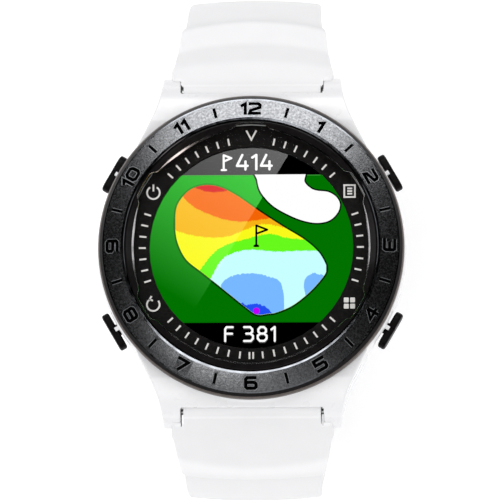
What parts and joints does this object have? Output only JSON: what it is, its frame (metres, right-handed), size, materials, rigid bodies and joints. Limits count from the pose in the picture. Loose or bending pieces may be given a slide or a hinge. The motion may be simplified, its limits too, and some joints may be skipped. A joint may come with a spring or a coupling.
{
  "type": "golf gps watch",
  "caption": "Round golf GPS watch with a metal bezel, a colour display, side buttons and an unbuckled rubber strap.",
  "frame": {"origin": "centre of the case back's outer face", "axes": "+Z out of the glass, +Y to 12 o'clock, +X to 3 o'clock"},
  "size_m": [0.0466, 0.0773, 0.0828],
  "materials": {
    "white_case": "smooth white polymer",
    "white_rubber": "smooth matt white",
    "gunmetal_bezel": "dark PVD coating, fine grained, engraved",
    "gloss_black_ring": "polished black",
    "printed_dial": "black film with white marks",
    "clear_glass": "clear, flat",
    "screen": "lit colour display",
    "diffuser": "white film",
    "black_plastic": "fine matt",
    "button_black": "satin black",
    "circuit_board": "green solder mask",
    "tin_shield": "pressed sheet",
    "antenna_ceramic": "ceramic",
    "battery_foil": "pouch foil",
    "silicone": "dark silicone",
    "steel": "satin",
    "spring_steel": "bright drawn",
    "screw_steel": "plain",
    "gold_contact": "gold plate"
  },
  "bodies": {
    "case": {"mid_case": "white_case", "bezel_gasket": "silicone", "bezel": "gunmetal_bezel", "glass_gasket": "silicone", "front_glass": "clear_glass", "dial_mask": "printed_dial", "inner_ring": "gloss_black_ring", "lcd_panel": "screen", "backlight": "diffuser", "display_frame": "black_plastic", "main_board": "circuit_board", "shield_can": "tin_shield", "gps_antenna": "antenna_ceramic", "battery": "battery_foil", "battery_pad": "silicone", "vibration_motor": "steel", "case_back": "black_plastic", "case_back_gasket": "silicone", "charge_contact_1": "gold_contact", "charge_contact_2": "gold_contact", "charge_contact_3": "gold_contact", "charge_contact_4": "gold_contact", "case_back_screw_1": "screw_steel", "case_back_screw_2": "screw_steel", "case_back_screw_3": "screw_steel", "case_back_screw_4": "screw_steel", "button_2_spring": "spring_steel", "button_2_seal": "silicone", "button_2_switch": "black_plastic", "button_4_spring": "spring_steel", "button_4_seal": "silicone", "button_4_switch": "black_plastic", "button_8_spring": "spring_steel", "button_8_seal": "silicone", "button_8_switch": "black_plastic", "button_10_spring": "spring_steel", "button_10_seal": "silicone", "button_10_switch": "black_plastic", "upper_bar_tube": "spring_steel", "upper_bar_spring": "spring_steel", "lower_bar_tube": "spring_steel", "lower_bar_spring": "spring_steel"},
    "upper_strap": {"upper_strap": "white_rubber", "buckle_bar": "steel"},
    "lower_strap": {"lower_strap": "white_rubber"},
    "buckle_frame": {"buckle_frame": "steel"},
    "buckle_tongue": {"buckle_tongue": "steel"},
    "free_keeper": {"free_keeper": "white_rubber"},
    "button_2": {"button_2": "button_black", "button_2_clip": "spring_steel"},
    "button_4": {"button_4": "button_black", "button_4_clip": "spring_steel"},
    "button_8": {"button_8": "button_black", "button_8_clip": "spring_steel"},
    "button_10": {"button_10": "button_black", "button_10_clip": "spring_steel"},
    "upper_bar_tip_a": {"upper_bar_tip_a": "spring_steel"},
    "upper_bar_tip_b": {"upper_bar_tip_b": "spring_steel"},
    "lower_bar_tip_a": {"lower_bar_tip_a": "spring_steel"},
    "lower_bar_tip_b": {"lower_bar_tip_b": "spring_steel"}
  },
  "joints": [
    {"name": "upper_strap_hinge", "type": "hinge", "parent": "case", "child": "upper_strap", "pos_m": [0, 0.0241, 0.005], "axis": [1, 0, 0], "range_deg": [-15, 45]},
    {"name": "lower_strap_hinge", "type": "hinge", "parent": "case", "child": "lower_strap", "pos_m": [0, -0.0241, 0.005], "axis": [-1, 0, 0], "range_deg": [-5, 45]},
    {"name": "buckle_frame_hinge", "type": "hinge", "parent": "upper_strap", "child": "buckle_frame", "pos_m": [0, 0.0158, -0.05173], "axis": [1, 0, 0], "range_deg": [-45, 60]},
    {"name": "buckle_tongue_hinge", "type": "hinge", "parent": "buckle_frame", "child": "buckle_tongue", "pos_m": [0, 0.0158, -0.05173], "axis": [1, 0, 0], "range_deg": [0, 40]},
    {"name": "free_keeper_slide", "type": "slide", "parent": "upper_strap", "child": "free_keeper", "axis": [0, -0.766, -0.6428], "range_m": [-0.005, 0.0019]},
    {"name": "button_2_press", "type": "slide", "parent": "case", "child": "button_2", "axis": [-0.866, -0.5, 0], "range_m": [0, 0.0006], "stiffness_N_per_m": 800, "deforming": ["button_2_spring"]},
    {"name": "button_4_press", "type": "slide", "parent": "case", "child": "button_4", "axis": [-0.866, 0.5, 0], "range_m": [0, 0.0006], "stiffness_N_per_m": 800, "deforming": ["button_4_spring"]},
    {"name": "button_8_press", "type": "slide", "parent": "case", "child": "button_8", "axis": [0.866, 0.5, 0], "range_m": [0, 0.0006], "stiffness_N_per_m": 800, "deforming": ["button_8_spring"]},
    {"name": "button_10_press", "type": "slide", "parent": "case", "child": "button_10", "axis": [0.866, -0.5, 0], "range_m": [0, 0.0006], "stiffness_N_per_m": 800, "deforming": ["button_10_spring"]},
    {"name": "upper_bar_tip_a_slide", "type": "slide", "parent": "case", "child": "upper_bar_tip_a", "axis": [-1, 0, 0], "range_m": [0, 0.00135], "stiffness_N_per_m": 300, "deforming": ["upper_bar_spring"]},
    {"name": "upper_bar_tip_b_slide", "type": "slide", "parent": "case", "child": "upper_bar_tip_b", "axis": [1, 0, 0], "range_m": [0, 0.00135], "stiffness_N_per_m": 300, "deforming": ["upper_bar_spring"]},
    {"name": "lower_bar_tip_a_slide", "type": "slide", "parent": "case", "child": "lower_bar_tip_a", "axis": [1, 0, 0], "range_m": [0, 0.00135], "stiffness_N_per_m": 300, "deforming": ["lower_bar_spring"]},
    {"name": "lower_bar_tip_b_slide", "type": "slide", "parent": "case", "child": "lower_bar_tip_b", "axis": [-1, 0, 0], "range_m": [0, 0.00135], "stiffness_N_per_m": 300, "deforming": ["lower_bar_spring"]}
  ]
}
